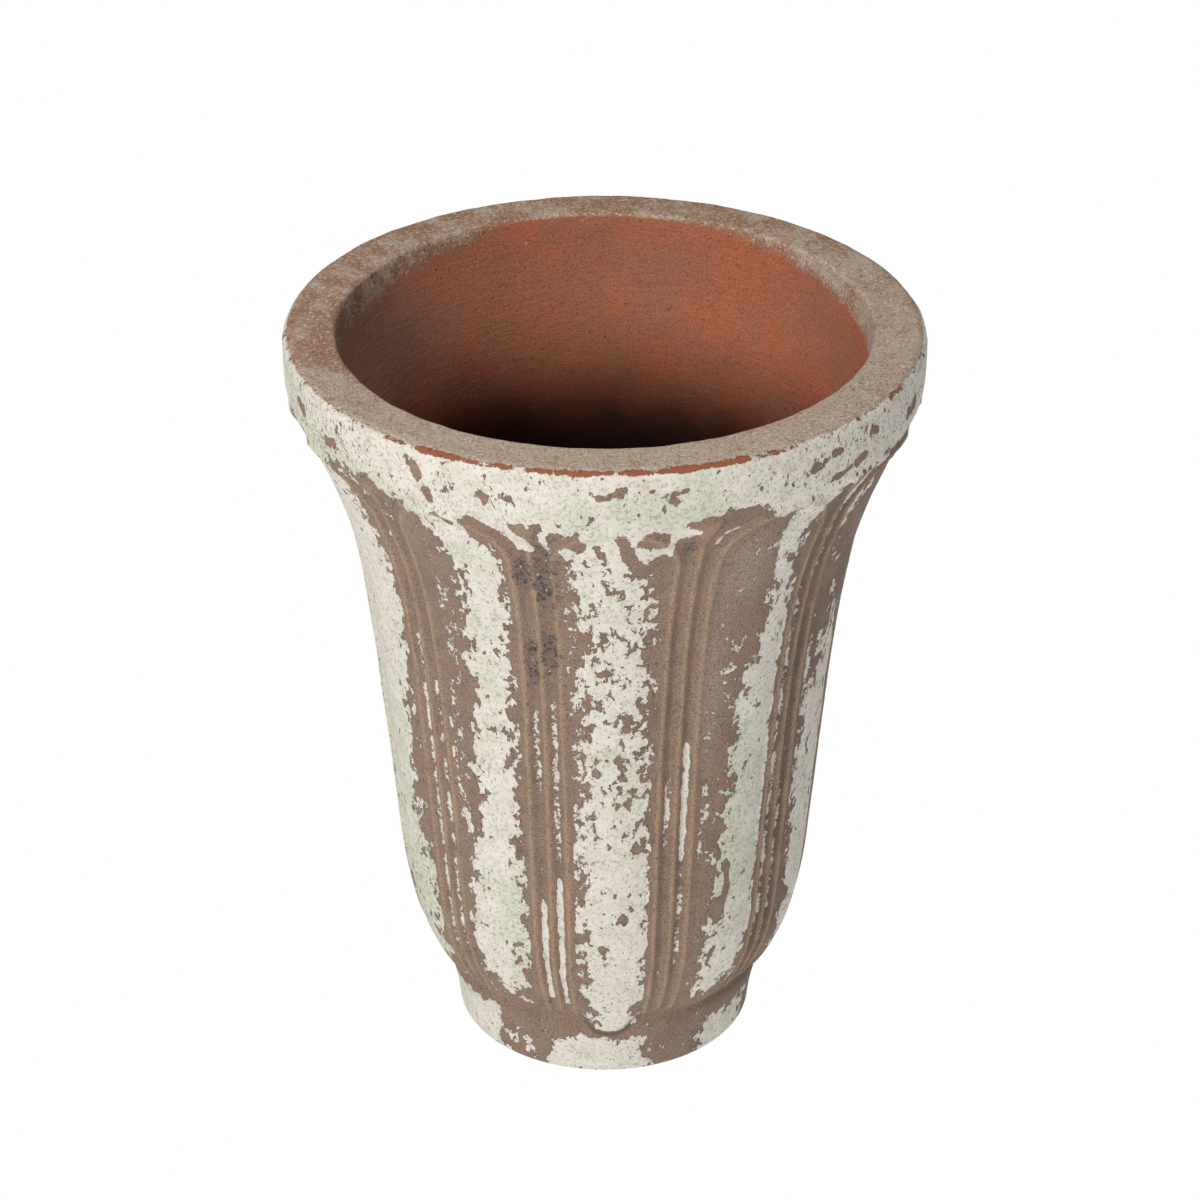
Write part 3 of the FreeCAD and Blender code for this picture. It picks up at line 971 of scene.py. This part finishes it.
def limewash(n, seed, slip):
    """Limewash over the slip, where the cover value and ragged noise leave it.

    Returns the colour, the share of limewash, its pinholes, and the ragged and the crumbly noise.
    """
    ragged = n.noise(9.0, 8.0, 0.68, stretch=(1.0, 1.0, 0.72), offset=seed + 5, warp=0.4)
    flakes = n.noise(3.4, 2.2, 0.55, stretch=(1.0, 1.0, 0.66), offset=seed + 26, warp=0.3)
    crumbs = n.noise(1.7, 5.0, 0.70, stretch=(1.0, 1.0, 0.8), offset=seed + 6)
    push = n.add(n.times(n.add(ragged, -0.5), 6.0), n.times(n.add(crumbs, -0.5), 1.8))
    push = n.add(push, n.times(n.add(flakes, -0.5), 4.6))
    push = n.add(push, n.times(n.attribute("dotted"), n.times(n.add(crumbs, -0.5), 6.0)))
    level = n.add(n.times(n.attribute("lime"), 1.15), push)
    lime = n.maths("ADD", n.times(level, 9.0), 0.5, clamp=True)
    edge = n.ramp(level, 0.0, 0.22, 1.0, 0.0)
    pinholes = n.maths("MAXIMUM", n.dots(3.4, 0.24, 0.30, seed + 7), n.dots(1.5, 0.26, 0.24, seed + 8))
    stain = n.noise(1.7, 6.0, 0.75, offset=seed + 9)
    tint = n.noise(15.0, 5.0, 0.6, offset=seed + 10)
    green = n.ramp(n.add(tint, n.times(n.attribute("green"), 0.22)), 0.46, 0.78)
    white = n.mix(n.ramp(n.noise(6.0, 6.0, 0.7, offset=seed + 11), 0.42, 0.66, 0.0, 0.85), WHITE, CREAM)
    white = n.mix(n.times(green, n.ramp(stain, 0.38, 0.58, 0.25, 0.95)), white, GREEN)
    white = n.mix(n.ramp(stain, 0.52, 0.60, 0.0, 0.60), white, OLIVE)
    cracked = n.noise(1.3, 4.0, 0.75, stretch=(1.0, 1.0, 0.7), offset=seed + 12)
    flecks = n.ramp(n.add(cracked, n.times(n.attribute("pitted"), 0.07)), 0.615, 0.655, 0.0, 0.8)
    white = n.mix(flecks, white, SLIP_DARK)
    white = n.mix(n.times(edge, 0.30), white, CREAM)
    white = n.mix(n.times(pinholes, 0.85), white, SLIP_DARK)
    # Painted shadow: the slip darkens next to the limewash's edges, as if shaded by the coat's thickness
    slip = n.mix(n.ramp(level, -0.45, -0.05, 0.0, 0.40), slip, SLIP_DARK)
    return n.mix(lime, slip, white), lime, pinholes, ragged, crumbs


def greyed_lip(n, seed):
    """The lip's colour: greyed clay with pale and dark specks and bare brown patches."""
    bare_left = n.add(n.noise(16.0, 7.0, 0.7, offset=seed + 13), n.times(n.attribute("lip_bare"), -0.16))
    lip = n.mix(n.ramp(bare_left, 0.32, 0.50), LIP_BROWN, LIP_GREY)
    lip = n.mix(n.ramp(n.noise(1.4, 5.0, 0.75, offset=seed + 14), 0.51, 0.60, 0.0, 0.80), lip, CREAM)
    lip = n.mix(n.ramp(n.noise(1.9, 5.0, 0.75, offset=seed + 15), 0.50, 0.66, 0.0, 0.75), lip, LIP_BROWN)
    return n.mix(n.ramp(n.noise(1.1, 4.0, 0.75, offset=seed + 22), 0.53, 0.63, 0.0, 0.75), lip, SLIP_DARK)


def red_inside(n, seed):
    """The inside's colour: red clay, browner in patches, with a pale patch of painted light on the left,
    painted shade darkening it further down, and a dull brown at the bottom.
    """
    red = n.mix(n.ramp(n.noise(34.0, 5.0, 0.6, offset=seed + 16), 0.38, 0.62), INNER_BROWN, INNER_RED)
    red = n.mix(n.ramp(n.noise(1.0, 5.0, 0.75, offset=seed + 17), 0.48, 0.64, 0.0, 0.8), red, SLIP_DARK)
    red = n.mix(n.times(n.dots(6.5, 0.16, 0.22, seed + 18), 0.6), red, LIP_GREY)
    height = n.node("ShaderNodeSeparateXYZ")
    n.join(n.place(), height.inputs[0])
    depth = n.add(height.outputs[2], n.times(n.add(n.noise(40.0, 4.0, 0.55, offset=seed + 19), -0.5), 0.022))
    # Painted light: a pale patch on the shaded left inside wall
    red = n.mix(n.times(n.attribute("dust_and_painted_light"), 0.55), red, DUST_AND_PAINTED_LIGHT)
    # Painted shade: the inside darkens with depth to near black
    red = n.mix(n.ramp(depth, 0.246, 0.304, 1.0, 0.0), red, INNER_PAINTED_SHADE)
    red = n.mix(n.ramp(depth, 0.238, 0.276, 1.0, 0.0), red, INNER_PAINTED_DEEP_SHADE)
    # Below the painted shade, a dull brown towards the bottom
    return n.mix(n.ramp(height.outputs[2], 0.180, 0.214, 1.0, 0.0), red, INNER_DULL_BROWN)


def clay_material(name, seed):
    """Terracotta under brown slip under flaking limewash, laid by the paint values on the mesh."""
    material = bpy.data.materials.new(name)
    n = Nodes(material)
    slip, soot, fine = brown_slip(n, seed)
    colour, lime, pinholes, ragged, crumbs = limewash(n, seed, slip)
    lip = greyed_lip(n, seed)
    on_lip = n.ramp(n.add(n.attribute("lip"), n.times(n.add(crumbs, -0.5), 1.4)), 0.35, 0.65)
    colour = n.mix(on_lip, colour, lip)
    red = red_inside(n, seed)
    wisps = n.add(n.times(n.add(ragged, -0.5), 0.9), n.times(n.add(crumbs, -0.5), 2.2))
    inner = n.ramp(n.add(n.times(n.attribute("inner"), 2.0), wisps), 0.20, 1.10)
    colour = n.mix(inner, colour, red)

    # Bare terracotta where the arris is knocked
    knocked = n.add(n.attribute("worn"), n.times(n.add(n.noise(7.0, 8.0, 0.75, offset=seed + 20), -0.5), 2.4))
    bare = n.ramp(knocked, 0.70, 0.80)
    colour = n.mix(bare, colour, TERRACOTTA)

    # Relief of the coat, its pits and the clay's grain
    pits = n.dots(4.6, 0.22, 0.30, seed + 21)
    height_of = n.add(n.times(lime, 0.60), n.times(fine, 0.50))
    height_of = n.add(height_of, n.times(ragged, 0.35))
    rings = n.noise(2.6, 4.0, 0.6, stretch=(0.30, 0.30, 1.4), offset=seed + 27)
    height_of = n.add(height_of, n.times(inner, n.times(rings, 0.5)))
    height_of = n.maths("SUBTRACT", height_of, n.times(pinholes, 0.5))
    height_of = n.maths("SUBTRACT", height_of, n.times(pits, 0.6))
    height_of = n.maths("SUBTRACT", height_of, n.times(bare, 0.3))
    relief_node = n.node("ShaderNodeBump")
    relief_node.inputs["Strength"].default_value = 1.0
    relief_node.inputs["Distance"].default_value = 0.0011
    n.join(height_of, relief_node.inputs["Height"])

    rough = n.ramp(lime, 0.0, 1.0, 0.68, 0.93)
    rough = n.add(rough, n.times(n.add(fine, -0.5), 0.25))
    rough = n.maths("SUBTRACT", rough, n.times(soot, 0.42), clamp=True)

    shader = n.node("ShaderNodeBsdfPrincipled")
    n.join(colour, shader.inputs["Base Color"])
    n.join(rough, shader.inputs["Roughness"])
    n.join(relief_node.outputs[0], shader.inputs["Normal"])
    shader.inputs["Specular IOR Level"].default_value = 0.20
    n.join(shader.outputs[0], n.node("ShaderNodeOutputMaterial").inputs[0])
    return material


limewashed_clay = clay_material("limewashed_clay", 3.0)


# ---------------------------------------------------------------- the pot's pieces


def finished(obj, slot, *nodes):
    """The piece rides on the pot, stands for its CAD nodes and takes its finish."""
    obj.data.materials.append(limewashed_clay)
    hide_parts(*nodes)
    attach(obj, "root")


def make_foot_ring():
    rows = [Row.of_skin(i) for i in range(wall_start + 1)]
    rows += [Row.turned(FLOOR_RADIUS, WALL_BOTTOM), Row.turned(FLOOR_RADIUS, FLOOR_BOTTOM)]
    rows += [Row.turned(FOOT_RECESS, FLOOR_BOTTOM, (-1, 0)), Row.turned(FOOT_RECESS, 2.0, (-1, 0))]
    rows += [Row.turned(FOOT_RECESS + 0.6, 0.6, (-0.7, -0.7)), Row.turned(FOOT_RECESS + 2.0, 0.0, (0, -1))]
    return ring_solid("foot_ring_clay", rows)


def make_wall():
    rows = [Row.of_skin(i) for i in range(wall_start, band_start + 1)]
    rows += [Row.of_skin(i, COARSE) for i in range(inside_joint, row_count)]
    rows += [Row.turned(FLOOR_RADIUS, FLOOR_TOP), Row.turned(FLOOR_RADIUS, WALL_BOTTOM)]
    return ring_solid("wall_clay", rows)


def make_rim_band():
    return ring_solid("rim_band_clay", [Row.of_skin(i) for i in range(band_start, inside_joint + 1)])


def make_floor():
    """The slab, slightly dished and uneven on top, with a hand-cut hole."""
    profile = [(FLOOR_RADIUS, FLOOR_TOP)]
    profile += [(radius, FLOOR_TOP - 0.6) for radius in np.linspace(59.0, 15.5, 16)]
    profile += [(13.2, FLOOR_TOP - 1.0), (12.3, FLOOR_TOP - 2.2), (DRAIN_RADIUS, FLOOR_TOP - 4.0)]
    profile += [(DRAIN_RADIUS, FLOOR_BOTTOM + 3.0), (12.4, FLOOR_BOTTOM + 1.0), (13.4, FLOOR_BOTTOM)]
    profile += [(radius, FLOOR_BOTTOM) for radius in (20.0, 35.0, 49.5, FLOOR_RADIUS)]
    facing = [(0, 1)] * 17 + [(-0.4, 0.9), (-0.8, 0.6), (-1, 0)]
    facing += [(-1, 0), (-0.7, -0.7), (0, -1)] + [(0, -1)] * 4
    rows = [Row.turned(radius, height, face, 1.0) for (radius, height), face in zip(profile, facing)]
    for row in rows[1:17]:
        row.points[:, 2] += 0.5 * noise(row.points, 14.0, 91, 2)
    return ring_solid("floor_clay", rows)


finished(make_foot_ring(), "limewashed_clay", "foot_ring")
finished(make_wall(), "limewashed_clay", "wall")
finished(make_rim_band(), "limewashed_clay", "rim_band")
finished(make_floor(), "bare_clay", "floor")
per_petal = COLUMNS // PETALS
for k in range(PETALS):
    around_petal = (np.arange(-per_petal // 2, per_petal // 2 + 1) + k * per_petal) % COLUMNS
    around_reed = (around_petal + per_petal // 2) % COLUMNS
    name = f"arch_bead_{k + 1:02d}"
    finished(bead_solid(name + "_clay", arch_height, reed_height, around_petal), "brown_relief_clay", name)
    name = f"centre_reed_{k + 1:02d}"
    finished(bead_solid(name + "_clay", reed_height, arch_height, around_reed), "brown_relief_clay", name)


# ---------------------------------------------------------------- floor, light and camera


def make_stage():
    """A plain white floor that glows like a light table, so that it shows no shadow."""
    mesh = bpy.data.meshes.new("stage_floor")
    side = 14.0
    corners = [(-side, -side, 0), (side, -side, 0), (side, side, 0), (-side, side, 0)]
    mesh.from_pydata(corners, [], [(0, 1, 2, 3)])
    stage = bpy.data.objects.new("stage_floor", mesh)
    bpy.context.scene.collection.objects.link(stage)
    material = bpy.data.materials.new("stage_pale")
    n = Nodes(material)
    shader = n.node("ShaderNodeEmission")
    shader.inputs["Color"].default_value = (1.0, 1.0, 1.0, 1.0)
    shader.inputs["Strength"].default_value = 1.0
    n.join(shader.outputs[0], n.node("ShaderNodeOutputMaterial").inputs[0])
    mesh.materials.append(material)


def make_light(name, place, size, power):
    """A soft square lamp that points at the pot's middle."""
    data = bpy.data.lights.new(name, "AREA")
    data.shape = "SQUARE"
    data.size = size
    data.energy = power
    lamp = bpy.data.objects.new(name, data)
    bpy.context.scene.collection.objects.link(lamp)
    lamp.location = place
    lamp.rotation_euler = (Vector((0.0, 0.0, 0.2)) - Vector(place)).to_track_quat("-Z", "Y").to_euler()


def make_camera():
    """The camera, just left of the front petal's middle and looking down. Its reach is in metres."""
    pitch, turn, reach = np.radians(29.284), np.radians(-2.0), 1.8884
    back = Vector((np.sin(turn) * np.cos(pitch), -np.cos(turn) * np.cos(pitch), np.sin(pitch)))
    left = Vector((-np.cos(turn), -np.sin(turn), 0.0))
    target = Vector((0.0, 0.0, 0.2114)) + left * 0.0020
    data = bpy.data.cameras.new("camera")
    data.lens = 126.0
    data.sensor_width = 36.0
    camera = bpy.data.objects.new("camera", data)
    bpy.context.scene.collection.objects.link(camera)
    camera.location = target + back * reach
    camera.rotation_euler = (-back).to_track_quat("-Z", "Y").to_euler()
    bpy.context.scene.camera = camera


make_stage()
make_light("key", (-1.05, -1.80, 1.15), 0.9, 29.0)
make_light("top", (-0.3, -0.3, 2.4), 1.2, 21.0)
make_camera()

world = bpy.data.worlds.new("studio")
world.use_nodes = True
world.node_tree.nodes["Background"].inputs[0].default_value = (1.0, 1.0, 1.0, 1.0)
world.node_tree.nodes["Background"].inputs[1].default_value = 0.15
bpy.context.scene.world = world
bpy.context.scene.view_settings.view_transform = "Standard"
